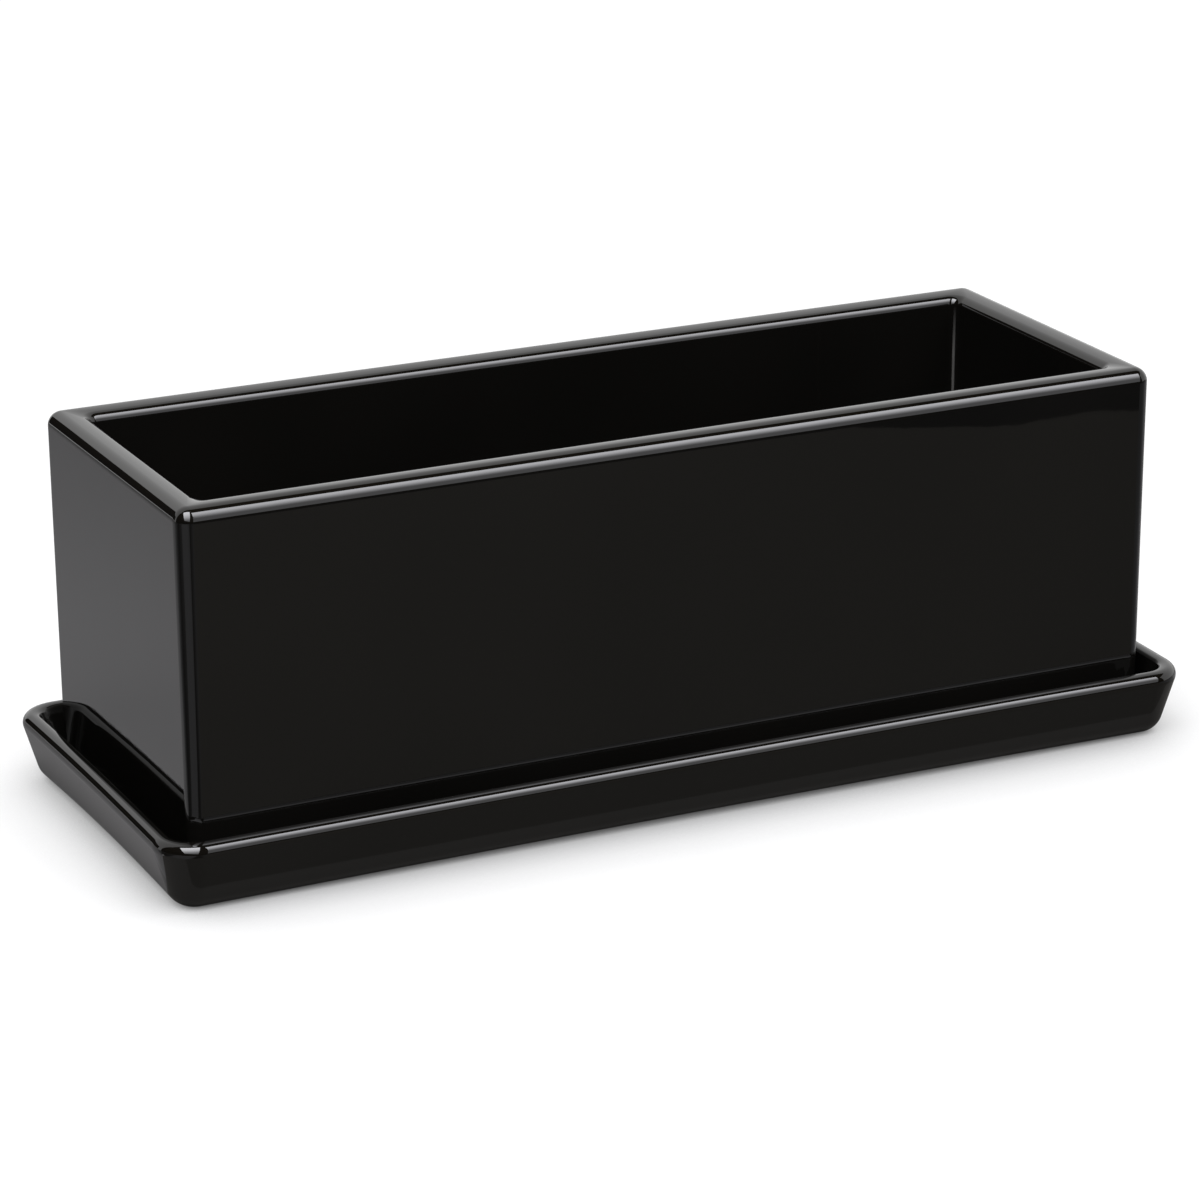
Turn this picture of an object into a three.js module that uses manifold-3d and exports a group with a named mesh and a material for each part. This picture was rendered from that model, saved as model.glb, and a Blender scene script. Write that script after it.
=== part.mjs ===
// A glazed ceramic window box standing in its own drip tray.
// Millimetres, +Z up. X runs along the box, -Y is its front, and the origin is the middle of the
// tray's underside, on the sill. Both pieces are slip cast: one wall, lofted as rounded rectangles
// that follow the section from the underside, over the rim and down to the inner floor.

import * as THREE from 'three';
import { mergeVertices } from 'three/addons/utils/BufferGeometryUtils.js';
import Module from 'manifold-3d';

// Window box: length and width over the rim, height from the soles of the feet to the rim
const BOX_LENGTH = 305;
const BOX_WIDTH = 108;
const BOX_HEIGHT = 107;
const BOX_WALL = 10;
const BOX_FLOOR = 9;
const BOX_LEAN_DEG = 0.35;
const BOX_CORNER = 4.5;
const BOX_INNER_CORNER = 3;
const RIM_OUTER_EDGE = 4.2;
const RIM_INNER_EDGE = 3;
const BOX_BASE_EDGE = 3;
const BOX_FLOOR_FILLET = 6;

// Feet cast under the box, set back from its faces, so that water can run out below
const FOOT_LENGTH = 30;
const FOOT_WIDTH = 16;
const FOOT_HEIGHT = 4;
const FOOT_CORNER = 5;
const FOOT_SETBACK = 12;

// Drain holes in a row along the middle of the box's floor
const DRAIN_DIAMETER = 12;
const DRAIN_COUNT = 3;
const DRAIN_SPACING = 90;

// Drip tray: its lip stands out past the box's rim all round
const TRAY_REACH = 10.5;
const TRAY_LENGTH = BOX_LENGTH + 2 * TRAY_REACH;
const TRAY_WIDTH = BOX_WIDTH + 2 * TRAY_REACH;
const TRAY_HEIGHT = 21;
const TRAY_WALL = 5.5;
const TRAY_FLOOR = 6;
const TRAY_LEAN_DEG = 16.5;
const TRAY_CORNER = 12;
const TRAY_INNER_CORNER = 8;
const LIP_OUTER_EDGE = 2.5;
const LIP_INNER_EDGE = 2.4;
const TRAY_BASE_EDGE = 6.5;
const TRAY_FLOOR_FILLET = 5;

// Shallow recess under the tray, which leaves a foot ring to stand on
const FOOT_RING_SETBACK = 20;
const RECESS_DEPTH = 1.2;
const RECESS_CORNER = 4;

// Sharpest corner that glaze leaves, and the steps that stand for each round stretch
const LEAST_CORNER = 0.4;
const CORNER_STEPS = 4;
const SECTION_STEPS = 3;
const DRAIN_STEPS = 32;

// How far a cutter runs past the face that it cuts, and a joined piece sinks into its neighbour
const OVERRUN = 1;

const wasm = await Module();
wasm.setup();

const blackGlaze = () => new THREE.MeshStandardMaterial({ color: 0x0c0b0a, roughness: 0.06, metalness: 0 });

// Plan outlines

function roundedRectangle(length, width, corner) {
  const x = length / 2 - corner;
  const y = width / 2 - corner;
  const outline = new THREE.Shape();
  outline.absarc(x, -y, corner, -Math.PI / 2, 0);
  outline.absarc(x, y, corner, 0, Math.PI / 2);
  outline.absarc(-x, y, corner, Math.PI / 2, Math.PI);
  outline.absarc(-x, -y, corner, Math.PI, 1.5 * Math.PI);
  outline.closePath();
  return outline;
}

function ringPoints(length, width, corner, height) {
  const outline = roundedRectangle(length, width, corner).getPoints(CORNER_STEPS);
  outline.pop();
  return outline.map((point) => new THREE.Vector3(point.x, point.y, height));
}

// Closed vessel walls

// A vessel's section, split at the middle of its rim. Section x is the distance outward from the
// widest point, so it is negative, and section y is the height.
function vesselSection(vessel) {
  const lean = THREE.MathUtils.degToRad(vessel.leanDeg);
  const top = vessel.rimHeight;
  const wallFoot = vessel.outerEdge * (1 - Math.cos(lean)) - (top - vessel.outerEdge) * Math.sin(lean);

  // Where a line runs at a height, parallel to the outer face and a given depth inside it
  const lineAt = (depth, height) => (wallFoot - depth + height * Math.sin(lean)) / Math.cos(lean);

  const baseEdgeHeight = vessel.underside + vessel.baseEdge;
  const baseEdgeX = lineAt(vessel.baseEdge, baseEdgeHeight);
  const outerEdgeHeight = top - vessel.outerEdge;
  const outerEdgeX = lineAt(vessel.outerEdge, outerEdgeHeight);
  const innerEdgeHeight = top - vessel.innerEdge;
  const innerEdgeX = lineAt(vessel.wall - vessel.innerEdge, innerEdgeHeight);
  const filletHeight = vessel.underside + vessel.floor + vessel.floorFillet;
  const filletX = lineAt(vessel.wall + vessel.floorFillet, filletHeight);
  const rimMiddle = (outerEdgeX + innerEdgeX) / 2;

  const skin = new THREE.Path();
  skin.absarc(baseEdgeX, baseEdgeHeight, vessel.baseEdge, -Math.PI / 2, -lean);
  skin.absarc(outerEdgeX, outerEdgeHeight, vessel.outerEdge, -lean, Math.PI / 2);

  const cavity = new THREE.Path();
  cavity.moveTo(rimMiddle, top);
  cavity.lineTo(innerEdgeX, top);
  cavity.absarc(innerEdgeX, innerEdgeHeight, vessel.innerEdge, Math.PI / 2, Math.PI - lean);
  cavity.absarc(filletX, filletHeight, vessel.floorFillet, -lean, -Math.PI / 2, true);

  return { skin, cavity, cavityWallAt: (height) => lineAt(vessel.wall, height) };
}

function vesselRings(vessel) {
  const { skin, cavity, cavityWallAt } = vesselSection(vessel);
  const ringAt = (point, corner) => {
    const length = vessel.length + 2 * point.x;
    const width = vessel.width + 2 * point.x;
    return ringPoints(length, width, Math.max(corner, LEAST_CORNER), point.y);
  };
  const skinRings = skin.getPoints(SECTION_STEPS).map((point) => ringAt(point, vessel.corner + point.x));
  const cavityRings = cavity.getPoints(SECTION_STEPS).map((point) =>
    ringAt(point, vessel.innerCorner + Math.max(point.x - cavityWallAt(point.y), 0)));
  return [...skinRings, ...cavityRings];
}

// Joins rings into one closed body: walls between neighbours, flat ends on the first and the last
function loftRings(rings) {
  const count = rings[0].length;
  const triangles = [];
  for (let ring = 0; ring < rings.length - 1; ring += 1) {
    for (let point = 0; point < count; point += 1) {
      const here = ring * count + point;
      const next = ring * count + ((point + 1) % count);
      triangles.push(here, next, next + count, here, next + count, here + count);
    }
  }
  const last = (rings.length - 1) * count;
  for (let point = 1; point < count - 1; point += 1) {
    triangles.push(0, point + 1, point);
    triangles.push(last, last + point, last + point + 1);
  }
  const geometry = new THREE.BufferGeometry().setFromPoints(rings.flat());
  geometry.setIndex(triangles);
  return geometry;
}

// Solids for joining and cutting

function toSolid(geometry) {
  const bare = geometry.clone();
  bare.deleteAttribute('normal');
  bare.deleteAttribute('uv');
  const merged = mergeVertices(bare);
  return new wasm.Manifold(new wasm.Mesh({
    numProp: 3,
    vertProperties: new Float32Array(merged.attributes.position.array),
    triVerts: new Uint32Array(merged.index.array),
  }));
}

function toGeometry(solid) {
  const mesh = solid.getMesh();
  const geometry = new THREE.BufferGeometry();
  geometry.setAttribute('position', new THREE.BufferAttribute(mesh.vertProperties, mesh.numProp));
  geometry.setIndex(new THREE.BufferAttribute(mesh.triVerts, 1));
  geometry.computeVertexNormals();
  return geometry;
}

function slab(outline, bottom, top) {
  const geometry = new THREE.ExtrudeGeometry(outline, {
    depth: top - bottom,
    bevelEnabled: false,
    curveSegments: CORNER_STEPS,
  });
  return geometry.translate(0, 0, bottom);
}

// Window box, with the soles of its feet at height 0

function windowBox() {
  const walls = loftRings(vesselRings({
    length: BOX_LENGTH,
    width: BOX_WIDTH,
    underside: FOOT_HEIGHT,
    rimHeight: BOX_HEIGHT,
    wall: BOX_WALL,
    floor: BOX_FLOOR,
    leanDeg: BOX_LEAN_DEG,
    corner: BOX_CORNER,
    innerCorner: BOX_INNER_CORNER,
    outerEdge: RIM_OUTER_EDGE,
    innerEdge: RIM_INNER_EDGE,
    baseEdge: BOX_BASE_EDGE,
    floorFillet: BOX_FLOOR_FILLET,
  }));
  let solid = toSolid(walls);

  const footX = (BOX_LENGTH - FOOT_LENGTH) / 2 - FOOT_SETBACK;
  const footY = (BOX_WIDTH - FOOT_WIDTH) / 2 - FOOT_SETBACK;
  for (const x of [-footX, footX]) {
    for (const y of [-footY, footY]) {
      const foot = slab(roundedRectangle(FOOT_LENGTH, FOOT_WIDTH, FOOT_CORNER), 0, FOOT_HEIGHT + OVERRUN);
      solid = solid.add(toSolid(foot.translate(x, y, 0)));
    }
  }

  const drainRadius = DRAIN_DIAMETER / 2;
  const drainDepth = BOX_FLOOR + 2 * OVERRUN;
  for (let index = 0; index < DRAIN_COUNT; index += 1) {
    const x = (index - (DRAIN_COUNT - 1) / 2) * DRAIN_SPACING;
    const drain = new THREE.CylinderGeometry(drainRadius, drainRadius, drainDepth, DRAIN_STEPS);
    drain.rotateX(Math.PI / 2);
    drain.translate(x, 0, FOOT_HEIGHT + BOX_FLOOR / 2);
    solid = solid.subtract(toSolid(drain));
  }

  const mesh = new THREE.Mesh(toGeometry(solid), blackGlaze());
  mesh.name = 'planter_box';
  return mesh;
}

// Drip tray, standing on its foot ring at height 0

function dripTray() {
  const walls = loftRings(vesselRings({
    length: TRAY_LENGTH,
    width: TRAY_WIDTH,
    underside: 0,
    rimHeight: TRAY_HEIGHT,
    wall: TRAY_WALL,
    floor: TRAY_FLOOR,
    leanDeg: TRAY_LEAN_DEG,
    corner: TRAY_CORNER,
    innerCorner: TRAY_INNER_CORNER,
    outerEdge: LIP_OUTER_EDGE,
    innerEdge: LIP_INNER_EDGE,
    baseEdge: TRAY_BASE_EDGE,
    floorFillet: TRAY_FLOOR_FILLET,
  }));
  const recessLength = TRAY_LENGTH - 2 * FOOT_RING_SETBACK;
  const recessWidth = TRAY_WIDTH - 2 * FOOT_RING_SETBACK;
  const recess = slab(roundedRectangle(recessLength, recessWidth, RECESS_CORNER), -OVERRUN, RECESS_DEPTH);
  const solid = toSolid(walls).subtract(toSolid(recess));

  const mesh = new THREE.Mesh(toGeometry(solid), blackGlaze());
  mesh.name = 'drip_tray';
  return mesh;
}

const planterBox = windowBox();
planterBox.position.z = TRAY_FLOOR;

const windowBoxSet = new THREE.Group();
windowBoxSet.add(dripTray(), planterBox);

export default windowBoxSet;
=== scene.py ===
import math

import bmesh
import bpy
from mathutils import Matrix, Vector


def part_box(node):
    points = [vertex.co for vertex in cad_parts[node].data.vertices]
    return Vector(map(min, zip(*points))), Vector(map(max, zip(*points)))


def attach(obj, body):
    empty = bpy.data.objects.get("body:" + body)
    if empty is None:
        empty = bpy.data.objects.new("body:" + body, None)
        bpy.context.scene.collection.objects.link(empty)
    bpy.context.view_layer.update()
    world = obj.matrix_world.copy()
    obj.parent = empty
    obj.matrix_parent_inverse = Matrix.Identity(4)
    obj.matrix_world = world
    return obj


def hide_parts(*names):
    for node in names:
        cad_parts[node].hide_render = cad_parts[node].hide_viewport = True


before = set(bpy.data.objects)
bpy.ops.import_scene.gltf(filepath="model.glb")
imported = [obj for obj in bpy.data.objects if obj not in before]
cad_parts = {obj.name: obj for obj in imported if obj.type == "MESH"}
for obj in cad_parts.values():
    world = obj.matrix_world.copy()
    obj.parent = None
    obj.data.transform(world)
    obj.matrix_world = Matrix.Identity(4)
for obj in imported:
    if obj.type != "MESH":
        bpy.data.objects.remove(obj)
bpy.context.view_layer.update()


# DRIP TRAY
# A long shallow tray of slip-cast earthenware, dipped in the same black glaze as the box. Its wall
# flares out to a rounded lip, and the ring it stands on is wiped clean before the firing.

MM = 0.001
tray_low, tray_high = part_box("drip_tray")
TRAY_LENGTH = tray_high[0] - tray_low[0]
TRAY_WIDTH = tray_high[1] - tray_low[1]
TRAY_HEIGHT = tray_high[2] - tray_low[2]
TRAY_WALL = 5.5 * MM
TRAY_FLOOR = 6 * MM
TRAY_LEAN = math.radians(16.5)
TRAY_CORNER = 12 * MM
TRAY_INNER_CORNER = 8 * MM
LIP_OUTER_EDGE = 3 * MM
LIP_INNER_EDGE = 1.6 * MM
TRAY_BASE_EDGE = 6.5 * MM
TRAY_FLOOR_FILLET = 5 * MM
FOOT_RING_SETBACK = 20 * MM
RECESS_DEPTH = 1.2 * MM
RECESS_CORNER = 4 * MM
RECESS_EDGE = 0.5 * MM

# The top of a rim or lip falls off towards the inside, and glaze leaves no plan corner sharper than this
RIM_FALL = math.radians(11)
LEAST_CORNER = 0.4 * MM

# The walls rose a little between the corners as the tray dried, at the foot more than at the lip. The
# floor and the inner edge of the foot ring stayed level. Where the rise starts and where it is full are
# measured outward from the lip, so they are negative.
LONG_ARCH_FOOT = 0.8 * MM
LONG_ARCH_LIP = 0.35 * MM
END_ARCH_FOOT = 1.5 * MM
END_ARCH_LIP = 0.8 * MM
LEVEL_WITHIN = -12.5 * MM
ARCHED_BEYOND = -8 * MM

# Mesh steps in plan, round a corner, along a side and along an end, and in the section, round an edge,
# along a flat and round the recess's edges
CORNER_STEPS = 18
LONG_STEPS = 30
SHORT_STEPS = 12
EDGE_STEPS = 14
WALL_STEPS = 6
RECESS_STEPS = 4
QUARTER = math.pi / 2


class Station:
    """One stop along a casting's section: its place, the way it faces, its plan corner, its glaze and its
    painted corner sheen.
    """

    def __init__(self, out, height, face_out, face_up, corner, thin=0.0, corner_sheen=0.0):
        self.out = out
        self.height = height
        self.face_out = face_out
        self.face_up = face_up
        self.corner = max(corner, LEAST_CORNER)
        self.thin = thin
        self.corner_sheen = corner_sheen


def round_edge(out, height, radius, start, end, corner_at, steps=EDGE_STEPS, hollow=False, thin=0.0):
    """Stations round an edge, or round the inside of a fillet where hollow is true."""
    turn = -1 if hollow else 1
    stations = []
    for step in range(steps + 1):
        share = step / steps
        angle = start + (end - start) * share
        x = out + radius * math.cos(angle)
        z = height + radius * math.sin(angle)
        stations.append(Station(x, z, turn * math.cos(angle), turn * math.sin(angle), corner_at(x, z),
                                thin * math.sin(math.pi * share)))
    return stations


def straight_run(start, end, corner_sheen=0.0):
    """Stations strictly between two others on a flat or sloping face."""
    stations = []
    for step in range(1, WALL_STEPS):
        share = step / WALL_STEPS
        stations.append(Station(start.out + (end.out - start.out) * share,
                                start.height + (end.height - start.height) * share,
                                start.face_out, start.face_up,
                                start.corner + (end.corner - start.corner) * share, corner_sheen=corner_sheen))
    return stations


def falling_run(start, end):
    """Stations over the top of a rim, level at its outer edge and falling off towards the inside."""
    stations = []
    for step in range(1, WALL_STEPS):
        share = step / WALL_STEPS
        stations.append(Station(start.out + (end.out - start.out) * share,
                                start.height + (end.height - start.height) * share ** 2,
                                -math.sin(RIM_FALL * share), math.cos(RIM_FALL * share),
                                start.corner + (end.corner - start.corner) * share))
    return stations


def wall_section(underside, rim, wall, floor, lean, corner, inner_corner, outer_edge, inner_edge, base_edge,
                 floor_fillet, corner_sheen=0.0):
    """The cast wall from its underside, up the outer face, over the rim and down to the inner floor."""
    wall_foot = outer_edge * (1 - math.cos(lean)) - (rim - outer_edge) * math.sin(lean)

    def face_at(depth, height):
        return (wall_foot - depth + height * math.sin(lean)) / math.cos(lean)

    def skin_corner(out, height):
        return corner + out

    def cavity_corner(out, height):
        return inner_corner + max(out - face_at(wall, height), 0)

    base_height = underside + base_edge
    base = round_edge(face_at(base_edge, base_height), base_height, base_edge, -QUARTER, -lean, skin_corner)
    outer_height = rim - outer_edge
    outer = round_edge(face_at(outer_edge, outer_height), outer_height, outer_edge, -lean, QUARTER,
                       skin_corner, thin=1.0)
    top_width = wall - outer_edge - inner_edge + inner_edge * math.sin(RIM_FALL)
    inner_height = rim - top_width * math.tan(RIM_FALL) / 2 - inner_edge * math.cos(RIM_FALL)
    inner = round_edge(face_at(wall - inner_edge, inner_height), inner_height, inner_edge,
                       QUARTER + RIM_FALL, math.pi - lean, cavity_corner, thin=1.0)
    fillet_height = underside + floor + floor_fillet
    fillet = round_edge(face_at(wall + floor_fillet, fillet_height), fillet_height, floor_fillet, -lean,
                        -QUARTER, cavity_corner, hollow=True)
    return [*base, *straight_run(base[-1], outer[0]), *outer, *falling_run(outer[-1], inner[0]), *inner,
            *straight_run(inner[-1], fillet[0], corner_sheen), *fillet]


def plan_ring(length, width, corner):
    """Points round a rounded rectangle, with the way that each faces."""
    half_x = length / 2 - corner
    half_y = width / 2 - corner
    ring = []
    turns = ((1, -1, -QUARTER), (1, 1, 0), (-1, 1, QUARTER), (-1, -1, math.pi))
    for index, (side_x, side_y, start) in enumerate(turns):
        for step in range(CORNER_STEPS + 1):
            angle = start + QUARTER * step / CORNER_STEPS
            ring.append((side_x * half_x + corner * math.cos(angle),
                         side_y * half_y + corner * math.sin(angle), math.cos(angle), math.sin(angle)))
        at_an_end = index % 2 == 0
        steps = SHORT_STEPS if at_an_end else LONG_STEPS
        for step in range(1, steps):
            share = 1 - 2 * step / steps
            if at_an_end:
                ring.append((side_x * length / 2, -side_x * half_y * share, side_x, 0))
            else:
                ring.append((side_y * half_x * share, side_y * width / 2, 0, side_y))
    return ring


# A painted sheen line, lighter grey that stands in for a reflection, keeps to the middle of an inner corner.
# Cornering is 1 there and 0 along the straight sides, and the painted sheen fades out over this much of it.
CORNER_SHEEN_SPREAD = 0.06


class Casting:
    """Collects one cast piece's rings of vertices, with the exact way that its surface faces at each."""

    def __init__(self):
        self.mesh = bmesh.new()
        self.facing = []
        self.thin = []
        self.corner_sheen = []

    def ring(self, points, station, long_arch=0.0, end_arch=0.0):
        """Adds one ring of the section, which an arch raises between the corners of its sides or its ends."""
        verts = []
        reach_x = max(point[0] for point in points)
        reach_y = max(point[1] for point in points)
        for x, y, plan_x, plan_y in points:
            rise = long_arch * (1 - (x / reach_x) ** 2) + end_arch * (1 - (y / reach_y) ** 2)
            verts.append(self.mesh.verts.new((x, y, station.height + rise)))
            facing = Vector((station.face_out * plan_x, station.face_out * plan_y, station.face_up))
            self.facing.append(facing.normalized())
            self.thin.append(station.thin)
            cornering = 2 * abs(plan_x * plan_y)
            self.corner_sheen.append(station.corner_sheen * max(0, 1 - (1 - cornering) / CORNER_SHEEN_SPREAD))
        return verts

    def loft(self, rings, material=0):
        for lower, upper in zip(rings, rings[1:]):
            for index, here in enumerate(lower):
                after = (index + 1) % len(lower)
                face = self.mesh.faces.new((here, lower[after], upper[after], upper[index]))
                face.material_index = material

    def flat(self, *loops, material=0):
        """Fills a level face between an outline and the loops that are cut out of it."""
        edges = []
        for loop in loops:
            for index, here in enumerate(loop):
                pair = (here, loop[(index + 1) % len(loop)])
                edges.append(self.mesh.edges.get(pair) or self.mesh.edges.new(pair))
        filled = bmesh.ops.triangle_fill(self.mesh, edges=edges, use_beauty=True)
        for part in filled["geom"]:
            if isinstance(part, bmesh.types.BMFace):
                part.material_index = material

    def piece(self, name, *materials):
        bmesh.ops.recalc_face_normals(self.mesh, faces=self.mesh.faces)
        data = bpy.data.meshes.new(name)
        self.mesh.to_mesh(data)
        self.mesh.free()
        data.polygons.foreach_set("use_smooth", [True] * len(data.polygons))
        data.normals_split_custom_set_from_vertices(self.facing)
        data.attributes.new("thin_glaze", "FLOAT", "POINT").data.foreach_set("value", self.thin)
        data.attributes.new("painted_corner_sheen", "FLOAT", "POINT").data.foreach_set("value", self.corner_sheen)
        for material in materials:
            data.materials.append(material)
        piece = bpy.data.objects.new(name, data)
        bpy.context.scene.collection.objects.link(piece)
        return piece


class Wire:
    """A socket in a material, so that sums on it read as sums."""

    def __init__(self, finish, socket):
        self.finish = finish
        self.socket = socket

    def math(self, operation, first, second):
        return self.finish.node("ShaderNodeMath", {"operation": operation}, {0: first, 1: second})

    def __add__(self, other):
        return self.math("ADD", self, other)

    def __radd__(self, other):
        return self.math("ADD", other, self)

    def __sub__(self, other):
        return self.math("SUBTRACT", self, other)

    def __rsub__(self, other):
        return self.math("SUBTRACT", other, self)

    def __mul__(self, other):
        return self.math("MULTIPLY", self, other)

    def __rmul__(self, other):
        return self.math("MULTIPLY", other, self)


class Finish:
    """One material, or the world's, as a tree of nodes."""

    # A Mix node's colour sockets share their names with its number sockets, so they go by their places
    MIX_SHARE = 0
    MIX_FIRST = 6
    MIX_SECOND = 7
    MIX_RESULT = 2

    def __init__(self, owner):
        owner.use_nodes = True
        self.tree = owner.node_tree
        self.tree.nodes.clear()

    def node(self, kind, settings=None, sockets=None, output=0):
        node = self.tree.nodes.new(kind)
        for key, value in (settings or {}).items():
            if key == "stops":
                for stop, (place, grey) in zip(node.color_ramp.elements, value):
                    stop.position = place
                    stop.color = (grey, grey, grey, 1)
            else:
                setattr(node, key, value)
        for key, value in (sockets or {}).items():
            if isinstance(value, Wire):
                self.tree.links.new(value.socket, node.inputs[key])
            else:
                node.inputs[key].default_value = value
        return Wire(self, node.outputs[output]) if len(node.outputs) else None

    def mix(self, share, first, second):
        sockets = {self.MIX_SHARE: share, self.MIX_FIRST: first, self.MIX_SECOND: second}
        return self.node("ShaderNodeMix", {"data_type": "RGBA"}, sockets, self.MIX_RESULT)


# Black glaze where it lies deep and shallow and breaks over an edge, with a lighter line painted down the
# inner corners as a painted reflection.
# Along an edge, ripples vary the break from its least share to the whole.
DEEP_GLAZE = (0.002, 0.0019, 0.0016, 1)
SHALLOW_GLAZE = (0.004, 0.0037, 0.0032, 1)
BROKEN_GLAZE = (0.0036, 0.0028, 0.0018, 1)
# Painted reflection: the lighter grey of the line down the box's inner corners
PAINTED_CORNER_SHEEN = (0.07, 0.068, 0.064, 1)
LEAST_BREAK = 0.25
GLAZE_IOR = 1.55
GLAZE_ROUGHNESS = 0.012
SMEAR_ROUGHNESS = 0.025

# Waves in the glaze, counted to the metre, with their heights in millimetres
SWELL = {"Scale": 15.0, "Detail": 1.0}
SWELL_HEIGHT = 0.12
RIPPLE = {"Scale": 80.0, "Detail": 1.0}
RIPPLE_HEIGHT = 0.012
PEEL = {"Scale": 420.0, "Detail": 0.0}
PEEL_HEIGHT = 0.0008
SMEAR = {"Scale": 22.0, "Detail": 4.0}


def black_glaze(name):
    """Gloss black glaze that pulls level in long swells, breaks to brown where it runs thin, and has a
    painted reflection line down its inner corners.
    """
    material = bpy.data.materials.new(name)
    finish = Finish(material)
    place = finish.node("ShaderNodeTexCoord", output="Object")
    swell = finish.node("ShaderNodeTexNoise", {}, {"Vector": place, **SWELL})
    ripple = finish.node("ShaderNodeTexNoise", {}, {"Vector": place, **RIPPLE})
    peel = finish.node("ShaderNodeTexNoise", {}, {"Vector": place, **PEEL})
    height = swell * SWELL_HEIGHT + ripple * RIPPLE_HEIGHT + peel * PEEL_HEIGHT
    relief = finish.node("ShaderNodeBump", {}, {"Strength": 1.0, "Distance": MM, "Height": height})

    coat = finish.mix(swell, DEEP_GLAZE, SHALLOW_GLAZE)
    edge = finish.node("ShaderNodeAttribute", {"attribute_name": "thin_glaze"}, output="Fac")
    broken = finish.mix(edge * (LEAST_BREAK + (1 - LEAST_BREAK) * ripple), coat, BROKEN_GLAZE)
    # The painted reflection line down the inner corners
    corner_sheen_mask = finish.node("ShaderNodeAttribute", {"attribute_name": "painted_corner_sheen"}, output="Fac")
    colour = finish.mix(corner_sheen_mask, broken, PAINTED_CORNER_SHEEN)
    smear = finish.node("ShaderNodeTexNoise", {}, {"Vector": place, **SMEAR})
    surface = finish.node("ShaderNodeBsdfPrincipled", {}, {
        "Base Color": colour, "Roughness": GLAZE_ROUGHNESS + SMEAR_ROUGHNESS * smear, "IOR": GLAZE_IOR,
        "Normal": relief})
    finish.node("ShaderNodeOutputMaterial", {}, {"Surface": surface})
    return material


# Bare clay, clouded from dark to light, with a speck wherever the grit stands high
DARK_CLAY = (0.34, 0.25, 0.18, 1)
LIGHT_CLAY = (0.46, 0.37, 0.28, 1)
CLAY_SPECK = (0.16, 0.11, 0.08, 1)
GRIT = {"Scale": 900.0, "Detail": 3.0}
GRIT_RELIEF = {"Strength": 0.6, "Distance": 0.1 * MM}
SPECK_STOPS = [(0.62, 0), (0.7, 1)]
CLOUD = {"Scale": 60.0, "Detail": 2.0}
CLAY_ROUGHNESS = 0.75
CLOUD_ROUGHNESS = 0.2


def bare_clay(name):
    """The fired body where the glaze is wiped off: buff, dry and gritty."""
    material = bpy.data.materials.new(name)
    finish = Finish(material)
    place = finish.node("ShaderNodeTexCoord", output="Object")
    grit = finish.node("ShaderNodeTexNoise", {}, {"Vector": place, **GRIT})
    cloud = finish.node("ShaderNodeTexNoise", {}, {"Vector": place, **CLOUD})
    body = finish.mix(cloud, DARK_CLAY, LIGHT_CLAY)
    speck = finish.node("ShaderNodeValToRGB", {"stops": SPECK_STOPS}, {"Fac": grit})
    colour = finish.mix(speck, body, CLAY_SPECK)
    relief = finish.node("ShaderNodeBump", {}, {**GRIT_RELIEF, "Height": grit})
    surface = finish.node("ShaderNodeBsdfPrincipled", {}, {
        "Base Color": colour, "Roughness": CLAY_ROUGHNESS + CLOUD_ROUGHNESS * cloud, "Normal": relief})
    finish.node("ShaderNodeOutputMaterial", {}, {"Surface": surface})
    return material


def recess_corner(out, height):
    return RECESS_CORNER + FOOT_RING_SETBACK + out


tray_section = [
    *round_edge(-FOOT_RING_SETBACK - RECESS_EDGE, RECESS_DEPTH - RECESS_EDGE, RECESS_EDGE, QUARTER, 0,
                recess_corner, RECESS_STEPS, hollow=True),
    *round_edge(-FOOT_RING_SETBACK + RECESS_EDGE, RECESS_EDGE, RECESS_EDGE, math.pi, 3 * QUARTER,
                recess_corner, RECESS_STEPS)]
foot_ring_start = len(tray_section) - 1
tray_section += wall_section(
    underside=0, rim=TRAY_HEIGHT, wall=TRAY_WALL, floor=TRAY_FLOOR, lean=TRAY_LEAN, corner=TRAY_CORNER,
    inner_corner=TRAY_INNER_CORNER, outer_edge=LIP_OUTER_EDGE, inner_edge=LIP_INNER_EDGE,
    base_edge=TRAY_BASE_EDGE, floor_fillet=TRAY_FLOOR_FILLET)

tray = Casting()
tray_rings = []
for station in tray_section:
    outline = plan_ring(TRAY_LENGTH + 2 * station.out, TRAY_WIDTH + 2 * station.out, station.corner)
    lift = min(max((station.out - LEVEL_WITHIN) / (ARCHED_BEYOND - LEVEL_WITHIN), 0), 1)
    share = station.height / TRAY_HEIGHT
    tray_rings.append(tray.ring(
        outline, station,
        long_arch=lift * (LONG_ARCH_FOOT + (LONG_ARCH_LIP - LONG_ARCH_FOOT) * share),
        end_arch=lift * (END_ARCH_FOOT + (END_ARCH_LIP - END_ARCH_FOOT) * share)))
tray.loft(tray_rings[:foot_ring_start + 1])
tray.loft(tray_rings[foot_ring_start:foot_ring_start + 2], material=1)
tray.loft(tray_rings[foot_ring_start + 1:])
tray.flat(tray_rings[0])
tray.flat(tray_rings[-1])
drip_tray = tray.piece("glazed_tray", black_glaze("tray_glaze"), bare_clay("tray_clay"))
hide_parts("drip_tray")
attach(drip_tray, "tray")


# WINDOW BOX
# The box is slip cast in one, ten millimetres thick, with a rounded rim, three drain holes in its floor
# and four low feet. It is glazed black inside and out, and stands loose on the tray's floor.

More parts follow.
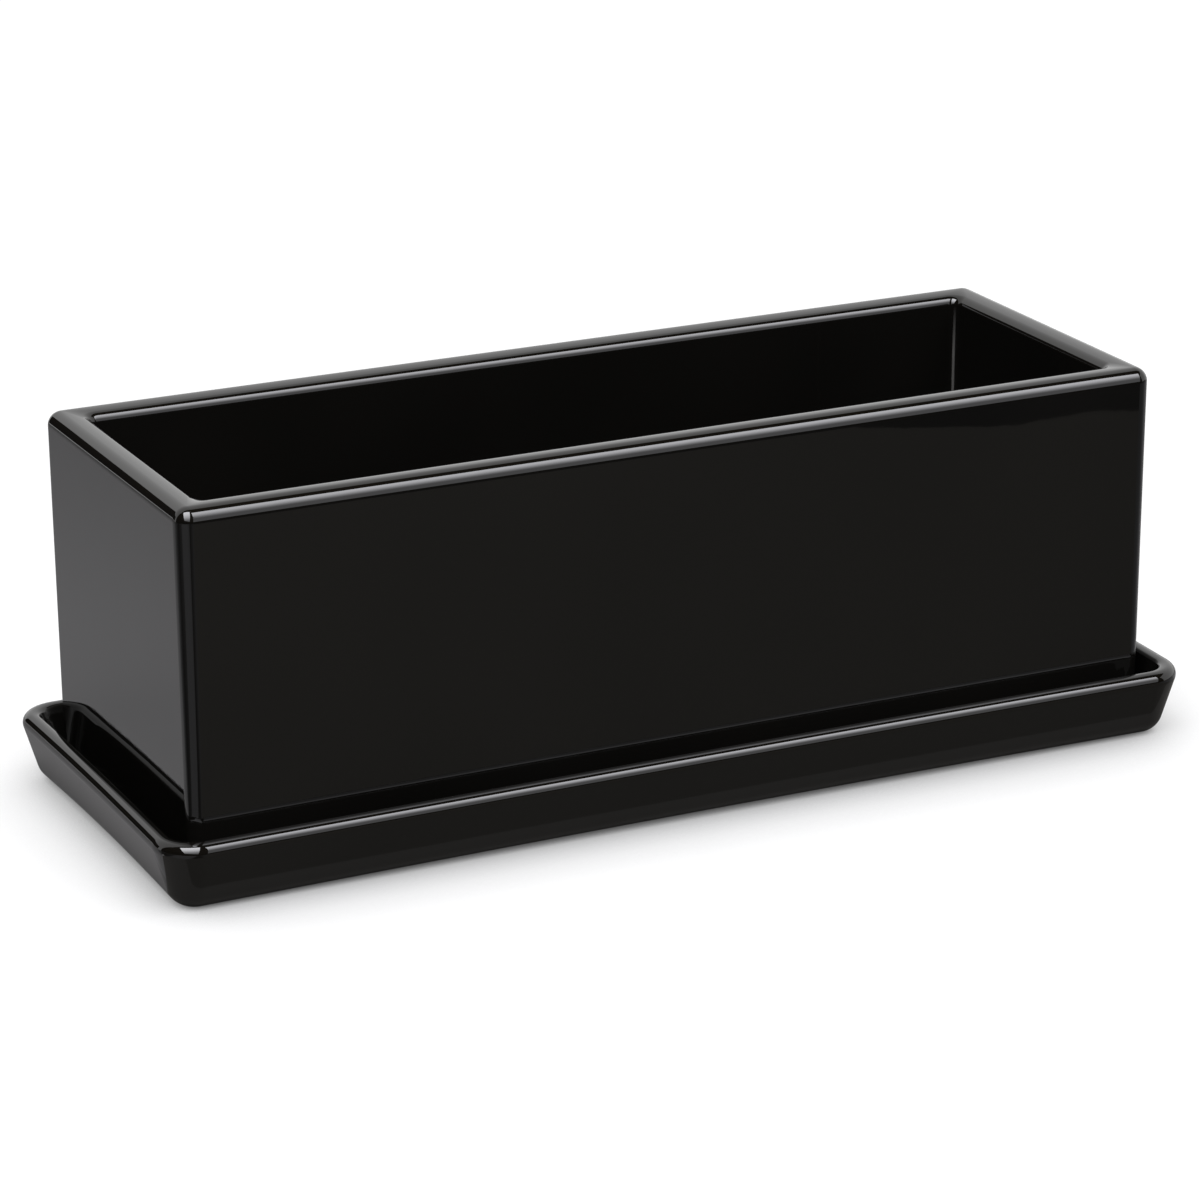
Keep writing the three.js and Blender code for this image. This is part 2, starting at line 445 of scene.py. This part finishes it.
box_low, box_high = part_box("planter_box")
BOX_LENGTH = box_high[0] - box_low[0]
BOX_WIDTH = box_high[1] - box_low[1]
SOLES = box_low[2]
RIM = box_high[2]
BOX_WALL = 10 * MM
BOX_FLOOR = 9 * MM
BOX_LEAN = math.radians(0.35)
BOX_CORNER = 4.5 * MM
BOX_INNER_CORNER = 3 * MM
RIM_OUTER_EDGE = 4.2 * MM
RIM_INNER_EDGE = 3 * MM
BOX_BASE_EDGE = 3 * MM
BOX_FLOOR_FILLET = 6 * MM
FOOT_LENGTH = 30 * MM
FOOT_WIDTH = 16 * MM
FOOT_HEIGHT = 4 * MM
FOOT_CORNER = 5 * MM
FOOT_SETBACK = 12 * MM
FOOT_FILLET = 1.5 * MM
SOLE_EDGE = 1 * MM
FOOT_STEPS = 6
DRAIN_RADIUS = 6 * MM
DRAIN_COUNT = 3
DRAIN_SPACING = 90 * MM
DRAIN_EDGE = 1.5 * MM
DRAIN_EDGE_STEPS = 8
DRAIN_STEPS = 48

UNDERSIDE = SOLES + FOOT_HEIGHT
# The inner wall carries the painted reflection line down its inner corners
box_section = wall_section(
    underside=UNDERSIDE, rim=RIM, wall=BOX_WALL, floor=BOX_FLOOR, lean=BOX_LEAN, corner=BOX_CORNER,
    inner_corner=BOX_INNER_CORNER, outer_edge=RIM_OUTER_EDGE, inner_edge=RIM_INNER_EDGE,
    base_edge=BOX_BASE_EDGE, floor_fillet=BOX_FLOOR_FILLET, corner_sheen=1.0)
box = Casting()
box_rings = []
for station in box_section:
    outline = plan_ring(BOX_LENGTH + 2 * station.out, BOX_WIDTH + 2 * station.out, station.corner)
    box_rings.append(box.ring(outline, station))
box.loft(box_rings)


def foot_corner(out, height):
    return FOOT_CORNER + out


def moved(ring, x, y):
    return [(point[0] + x, point[1] + y, point[2], point[3]) for point in ring]


foot_section = [
    *round_edge(FOOT_FILLET, UNDERSIDE - FOOT_FILLET, FOOT_FILLET, QUARTER, math.pi, foot_corner, FOOT_STEPS,
                hollow=True),
    *round_edge(-SOLE_EDGE, SOLES + SOLE_EDGE, SOLE_EDGE, 0, -QUARTER, foot_corner, FOOT_STEPS)]
foot_loops = []
foot_x = (BOX_LENGTH - FOOT_LENGTH) / 2 - FOOT_SETBACK
foot_y = (BOX_WIDTH - FOOT_WIDTH) / 2 - FOOT_SETBACK
for x in (-foot_x, foot_x):
    for y in (-foot_y, foot_y):
        rings = []
        for station in foot_section:
            outline = plan_ring(FOOT_LENGTH + 2 * station.out, FOOT_WIDTH + 2 * station.out, station.corner)
            rings.append(box.ring(moved(outline, x, y), station))
        box.loft(rings)
        box.flat(rings[-1], material=1)
        foot_loops.append(rings[0])


def no_corner(out, height):
    return 0


def circle(radius, x):
    turn = 2 * math.pi / DRAIN_STEPS
    return [(x + radius * math.cos(step * turn), radius * math.sin(step * turn),
             math.cos(step * turn), math.sin(step * turn)) for step in range(DRAIN_STEPS)]


drain_section = [
    *round_edge(DRAIN_EDGE, UNDERSIDE + BOX_FLOOR - DRAIN_EDGE, DRAIN_EDGE, QUARTER, math.pi, no_corner,
                DRAIN_EDGE_STEPS, thin=1.0),
    *round_edge(DRAIN_EDGE, UNDERSIDE + DRAIN_EDGE, DRAIN_EDGE, math.pi, 3 * QUARTER, no_corner,
                DRAIN_EDGE_STEPS, thin=1.0)]
drain_tops = []
drain_ends = []
for index in range(DRAIN_COUNT):
    x = (index - (DRAIN_COUNT - 1) / 2) * DRAIN_SPACING
    rings = []
    for station in drain_section:
        rings.append(box.ring(circle(DRAIN_RADIUS + station.out, x), station))
    box.loft(rings)
    drain_tops.append(rings[0])
    drain_ends.append(rings[-1])
box.flat(box_rings[0], *foot_loops, *drain_ends)
box.flat(box_rings[-1], *drain_tops)

window_box = box.piece("glazed_box", black_glaze("box_glaze"), bare_clay("box_clay"))
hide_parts("planter_box")
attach(window_box, "box")


# STUDIO FLOOR AND ROOM
# A white floor in a white room. Most of the floor's white is its own glow, which carries a painted contact
# shade where the object stands close over it, painted about half as deep beside the object's two ends.

FLOOR_SPAN = 12.0
FLOOR_CHALK = (0.1, 0.1, 0.1, 1)
ROOM_WHITE = (1, 1, 1, 1)
ROOM_FILL = 0.15

# The glow near the object, and the distances between which it rises to white
NEAR_GLOW = 0.97
NEAR_GLOW_WITHIN = 0.25
FULL_GLOW_BEYOND = 1.0

# The depth of the painted contact shade, how near the object it reaches, and how much of it is painted
# lighter beside the ends
CONTACT_SHADE = 0.95
CONTACT_REACH = 0.05
CONTACT_SAMPLES = 8
END_LIGHT = 0.45
END_LIGHT_FROM = 0.14
END_LIGHT_FULL = 0.2


def seen_directly(finish):
    """1 for what the camera, a reflection or a clear piece shows, and 0 for light falling on a surface."""
    camera = finish.node("ShaderNodeLightPath", output="Is Camera Ray")
    glossy = finish.node("ShaderNodeLightPath", output="Is Glossy Ray")
    clear = finish.node("ShaderNodeLightPath", output="Is Transmission Ray")
    return camera + glossy + clear


def sheet(name, corners, material, faces=None):
    """A flat sheet of the studio, or several that share corners where faces says which."""
    data = bpy.data.meshes.new(name)
    data.from_pydata(corners, [], faces or [tuple(range(len(corners)))])
    data.materials.append(material)
    piece = bpy.data.objects.new(name, data)
    bpy.context.scene.collection.objects.link(piece)
    return piece


white_floor = bpy.data.materials.new("white_floor")
floor_finish = Finish(white_floor)
floor_place = floor_finish.node("ShaderNodeTexCoord", output="Object")
floor_reach = floor_finish.node("ShaderNodeVectorMath", {"operation": "LENGTH"}, {0: floor_place}, "Value")
far_off = floor_finish.node("ShaderNodeMapRange", {"interpolation_type": "SMOOTHSTEP"}, {
    "Value": floor_reach, "From Min": NEAR_GLOW_WITHIN, "From Max": FULL_GLOW_BEYOND})
openness = floor_finish.node("ShaderNodeAmbientOcclusion", {"samples": CONTACT_SAMPLES},
                             {"Distance": CONTACT_REACH}, "AO")
floor_across = floor_finish.node("ShaderNodeSeparateXYZ", {}, {0: floor_place}, "X")
off_centre = floor_finish.node("ShaderNodeMath", {"operation": "ABSOLUTE"}, {0: floor_across})
beside = floor_finish.node("ShaderNodeMapRange", {"interpolation_type": "SMOOTHSTEP"}, {
    "Value": off_centre, "From Min": END_LIGHT_FROM, "From Max": END_LIGHT_FULL})
# Painted shade: the glow is darkened by closeness to the object, and less so beside its two ends
lightness = 1 - (CONTACT_SHADE - END_LIGHT * beside) * (1 - openness)
glow = floor_finish.node("ShaderNodeEmission", {}, {
    "Color": seen_directly(floor_finish) * lightness * (NEAR_GLOW + (1 - NEAR_GLOW) * far_off)})
chalk = floor_finish.node("ShaderNodeBsdfDiffuse", {}, {"Color": FLOOR_CHALK})
floor_finish.node("ShaderNodeOutputMaterial", {}, {
    "Surface": floor_finish.node("ShaderNodeAddShader", {}, {0: glow, 1: chalk})})
half = FLOOR_SPAN / 2
sheet("floor", [(-half, -half, 0), (half, -half, 0), (half, half, 0), (-half, half, 0)], white_floor)

room = bpy.data.worlds.new("white_room")
bpy.context.scene.world = room
room_finish = Finish(room)
air = room_finish.node("ShaderNodeBackground", {}, {
    "Color": ROOM_WHITE, "Strength": ROOM_FILL + (1 - ROOM_FILL) * seen_directly(room_finish)})
room_finish.node("ShaderNodeOutputWorld", {}, {"Surface": air})


# STUDIO CARDS AND CLOTH
# Grey cards, some of them graded, lie on the floor all round the object. Black cloth lies in front and at
# the left and rises there as a tent, and a dark board stands behind on the left. All of it shows in
# reflections only.

CLOTH_LIFT = 0.3 * MM
GRADED_LIFT = 0.45 * MM
CARD_LIFT = 0.6 * MM
FRONT_GREY = (0.088, 0.084, 0.075, 1)
FOOT_GREY = (0.13, 0.125, 0.115, 1)
SIDE_GREY = (0.235, 0.23, 0.225, 1)
PALE_GREY = (0.335, 0.33, 0.325, 1)
CLOTH_GREY = (0.02, 0.02, 0.02, 1)

# Lines on which cards meet: from left to right, then from front to back
LEFT_LINE = -0.167
LEFT_FOOT_LINE = -0.15
RIGHT_FOOT_LINE = 0.15
RIGHT_LINE = 0.2
FRONT_LINE = -0.0665
FRONT_FOOT_LINE = -0.055
RIGHT_CARD_LINE = -0.048
LEFT_CARD_LINE = -0.046
BACK_LINE = 0.07
SIDE_CARD_END = 0.12
OUTER_LINE = 1.0

# Corners that cards share: where the front card runs back at the left, its tip, and its right-hand side
LEFT_SEAM = [(-0.158, FRONT_LINE), (-0.168, -0.0725), (-0.172, -0.078)]
FRONT_TIP = Vector((-0.15, -0.095))
RIGHT_NEAR = (RIGHT_LINE, -0.10)
RIGHT_FAR = (0.33, -0.325)

# The other corners of the front card and of the foot card
FRONT_LEFT = (-0.165, -0.087)
FRONT_FAR = [(-0.016, -0.451), (0.19, -0.42), (0.222, -0.352), (0.268, -0.334), (0.31, -0.333)]
FOOT_LEFT = [(-0.186, LEFT_CARD_LINE), (-0.19, -0.066)]

# The right card's corners, each with its grey
RIGHT_CARD = [(RIGHT_LINE, RIGHT_CARD_LINE, 0.2), (OUTER_LINE, RIGHT_CARD_LINE, 0.335),
              (*RIGHT_NEAR, 0.12), (OUTER_LINE, -0.30, 0.15),
              (*RIGHT_FAR, 0.09), (OUTER_LINE, -0.75, 0.03)]
RIGHT_CARD_FACES = [(0, 2, 3, 1), (2, 4, 5, 3)]


def matt(name, colour):
    material = bpy.data.materials.new(name)
    finish = Finish(material)
    surface = finish.node("ShaderNodeBsdfDiffuse", {}, {"Color": colour})
    finish.node("ShaderNodeOutputMaterial", {}, {"Surface": surface})
    return material


def reflection_card(name, corners, material, faces=None):
    card = sheet(name, corners, material, faces)
    card.visible_camera = False
    card.visible_diffuse = False
    card.visible_shadow = False
    return card


def floor_card(name, outline, colour):
    reflection_card(name, [(x, y, CARD_LIFT) for x, y in outline], matt(name, colour))


def graded_card(name, corners, faces):
    """A card whose grey runs smoothly from corner to corner: each corner is its place and its grey."""
    material = bpy.data.materials.new(name)
    finish = Finish(material)
    colour = finish.node("ShaderNodeAttribute", {"attribute_name": "grey"}, output="Fac")
    surface = finish.node("ShaderNodeBsdfDiffuse", {}, {"Color": colour})
    finish.node("ShaderNodeOutputMaterial", {}, {"Surface": surface})
    card = reflection_card(name, [(x, y, GRADED_LIFT) for x, y, grey in corners], material, faces)
    greys = card.data.attributes.new("grey", "FLOAT", "POINT")
    greys.data.foreach_set("value", [grey for x, y, grey in corners])


def heading(turn):
    """The way along the floor at a number of degrees to the right of straight to the front."""
    return Vector((math.sin(math.radians(turn)), -math.cos(math.radians(turn))))


def fan_card(name, tip, near, far, spokes):
    """A graded card that opens from a tip, with a heading and a grey for each of its spokes."""
    fan = []
    for turn, grey in spokes:
        fan += [(*(tip + heading(turn) * near), grey), (*(tip + heading(turn) * far), grey)]
    faces = [(first, first + 1, first + 3, first + 2) for first in range(0, len(fan) - 2, 2)]
    graded_card(name, fan, faces)


floor_card("front_card", [*LEFT_SEAM, FRONT_LEFT, FRONT_TIP, *FRONT_FAR, RIGHT_FAR, RIGHT_NEAR,
                          (RIGHT_LINE, FRONT_LINE)], FRONT_GREY)
floor_card("foot_card", [
    (RIGHT_LINE, BACK_LINE), (RIGHT_FOOT_LINE, BACK_LINE), (RIGHT_FOOT_LINE, FRONT_FOOT_LINE),
    (LEFT_FOOT_LINE, FRONT_FOOT_LINE), (LEFT_FOOT_LINE, LEFT_CARD_LINE), *FOOT_LEFT,
    *reversed(LEFT_SEAM), (RIGHT_LINE, FRONT_LINE)], FOOT_GREY)
graded_card("right_card", RIGHT_CARD, RIGHT_CARD_FACES)

# Each fan opens from its tip. Its spokes are degrees to the right of straight to the front, with a grey.
FAN_START = 2 * MM
LEFT_FAN_TIP = Vector((-0.19, -0.045))
LEFT_FAN_REACH = 1.0
LEFT_FAN_END = -125
LEFT_FAN = [(-92, 0.05), (-108, 0.15), (LEFT_FAN_END, 0.335)]
FRONT_FAN_REACH = 0.7
FRONT_FAN = [(20.6, 0.088), (8, 0.05), (-5, 0.02)]
CORNER_FAN_TIP = Vector((-0.157, -0.0485))
CORNER_FAN_START = 30 * MM
CORNER_FAN_REACH = 0.8
CORNER_FAN = [(-88, 0.03), (-62, 0.17), (-27, 0.17), (-10, 0.02)]
fan_card("left_fan", LEFT_FAN_TIP, FAN_START, LEFT_FAN_REACH, LEFT_FAN)
fan_card("front_fan", FRONT_TIP, FAN_START, FRONT_FAN_REACH, FRONT_FAN)
fan_card("corner_fan", CORNER_FAN_TIP, CORNER_FAN_START, CORNER_FAN_REACH, CORNER_FAN)

floor_card("left_card", [
    LEFT_FAN_TIP, LEFT_FAN_TIP + heading(LEFT_FAN_END) * LEFT_FAN_REACH, (-OUTER_LINE, OUTER_LINE),
    (LEFT_FOOT_LINE, OUTER_LINE), (LEFT_FOOT_LINE, SIDE_CARD_END), (LEFT_LINE, SIDE_CARD_END),
    (LEFT_LINE, LEFT_CARD_LINE)], PALE_GREY)
floor_card("back_card", [
    (LEFT_FOOT_LINE, BACK_LINE), (LEFT_FOOT_LINE, OUTER_LINE), (OUTER_LINE, OUTER_LINE),
    (OUTER_LINE, RIGHT_CARD_LINE), (RIGHT_LINE, RIGHT_CARD_LINE), (RIGHT_LINE, BACK_LINE)], PALE_GREY)
floor_card("side_card", [
    (LEFT_FOOT_LINE, LEFT_CARD_LINE), (LEFT_LINE, LEFT_CARD_LINE), (LEFT_LINE, SIDE_CARD_END),
    (LEFT_FOOT_LINE, SIDE_CARD_END)], SIDE_GREY)

TENT_LEFT = -1.6
TENT_RIGHT = 2.5
TENT_FRONT = -1.7
TENT_TOP = 2.2
ROOF_BACK = 0.42
WALL_BACK = 0.5
CLOTH_BACK = -0.05
CLOTH_TIP = (-0.19, CLOTH_BACK)
CLOTH_FOLD = (-1.0, 0.237)
black_cloth = matt("cloth_black", CLOTH_GREY)
reflection_card("black_tent", [
    (TENT_LEFT, CLOTH_BACK, CLOTH_LIFT), (TENT_RIGHT, CLOTH_BACK, CLOTH_LIFT),
    (TENT_RIGHT, TENT_FRONT, CLOTH_LIFT), (TENT_LEFT, TENT_FRONT, CLOTH_LIFT),
    (TENT_LEFT, TENT_FRONT, TENT_TOP), (TENT_RIGHT, TENT_FRONT, TENT_TOP),
    (TENT_RIGHT, ROOF_BACK, TENT_TOP), (TENT_LEFT, ROOF_BACK, TENT_TOP),
    (TENT_LEFT, WALL_BACK, CLOTH_LIFT), (TENT_LEFT, WALL_BACK, TENT_TOP),
    (*CLOTH_TIP, CLOTH_LIFT), (*CLOTH_FOLD, CLOTH_LIFT)], black_cloth, [
        (0, 3, 2, 1),     # cloth on the floor in front
        (3, 2, 5, 4),     # front wall
        (4, 5, 6, 7),     # roof
        (0, 3, 4, 9, 8),  # left wall
        (0, 10, 11, 8)])  # cloth on the floor at the left

BOARD_LEFT = (-1.2, 0.62)
BOARD_RIGHT = (-0.44, 1.02)
BOARD_FOOT = 0.055
BOARD_TOP = 0.47
reflection_card("dark_board", [(*BOARD_LEFT, BOARD_FOOT), (*BOARD_RIGHT, BOARD_FOOT),
                               (*BOARD_RIGHT, BOARD_TOP), (*BOARD_LEFT, BOARD_TOP)], black_cloth)


# STUDIO LIGHTS
# Two tall soft panels lean over the box, one from the front right and one from the front left. Each is
# brightest along its top edge and fades downwards. The camera doesn't see them.

PANEL_TINT = Vector((0.955, 0.958, 1.0))
FADE_TO = 0.9
RIGHT_PANEL = [(0.185, -1.19, 0.175), (0.90, -1.19, 0.175), (0.74, -0.343, 1.07), (0.135, -0.343, 1.07)]
RIGHT_BRIGHT = 8.5
RIGHT_DIM = 1.1
RIGHT_FADE_FROM = 0.35
LEFT_PANEL = [(-0.93, -0.87, 0.45), (-0.31, -1.20, 0.30), (0.0, -0.20, 1.12), (-0.58, 0.0, 1.12)]
LEFT_BRIGHT = 12.0
LEFT_DIM = 1.8
LEFT_FADE_FROM = 0.1


def light_panel(name, corners, bright, dim, fade_from):
    """A glowing sheet, dim up to a share of its height and then brighter towards its top."""
    glowing = bpy.data.materials.new(name)
    finish = Finish(glowing)
    place = finish.node("ShaderNodeTexCoord", output="Generated")
    height = finish.node("ShaderNodeSeparateXYZ", {}, {0: place}, "Z")
    fade = finish.node("ShaderNodeMapRange", {"interpolation_type": "SMOOTHSTEP"}, {
        "Value": height, "From Min": fade_from, "From Max": FADE_TO})
    light = finish.mix(fade, (*(PANEL_TINT * dim), 1), (*(PANEL_TINT * bright), 1))
    glow = finish.node("ShaderNodeEmission", {}, {"Color": light})
    finish.node("ShaderNodeOutputMaterial", {}, {"Surface": glow})
    sheet(name, corners, glowing).visible_camera = False


light_panel("right_panel", RIGHT_PANEL, RIGHT_BRIGHT, RIGHT_DIM, RIGHT_FADE_FROM)
light_panel("left_panel", LEFT_PANEL, LEFT_BRIGHT, LEFT_DIM, LEFT_FADE_FROM)


# CAMERA
# A long lens at the front left, above the rim. It is turned to the right of straight back, dropped from
# level to look down into the box, and rolled by a third of a degree.

CAMERA_PLACE = Vector((-0.55135, -1.13988, 0.48318))
CAMERA_TURN = math.radians(25.731)
CAMERA_DROP = math.radians(18.956)
CAMERA_ROLL = math.radians(-0.32)
CAMERA_LENS = 136.519
CAMERA_SENSOR = 36.0

ahead = Vector((math.sin(CAMERA_TURN) * math.cos(CAMERA_DROP), math.cos(CAMERA_TURN) * math.cos(CAMERA_DROP),
                -math.sin(CAMERA_DROP)))
level = Vector((math.cos(CAMERA_TURN), -math.sin(CAMERA_TURN), 0))
above = level.cross(ahead)
right = level * math.cos(CAMERA_ROLL) + above * math.sin(CAMERA_ROLL)
up = above * math.cos(CAMERA_ROLL) - level * math.sin(CAMERA_ROLL)
lens = bpy.data.cameras.new("camera")
lens.lens = CAMERA_LENS
lens.sensor_width = CAMERA_SENSOR
camera = bpy.data.objects.new("camera", lens)
camera.matrix_world = Matrix((
    (right.x, up.x, -ahead.x, CAMERA_PLACE.x),
    (right.y, up.y, -ahead.y, CAMERA_PLACE.y),
    (right.z, up.z, -ahead.z, CAMERA_PLACE.z),
    (0, 0, 0, 1)))
bpy.context.scene.collection.objects.link(camera)
bpy.context.scene.camera = camera
bpy.context.scene.view_settings.view_transform = "Standard"
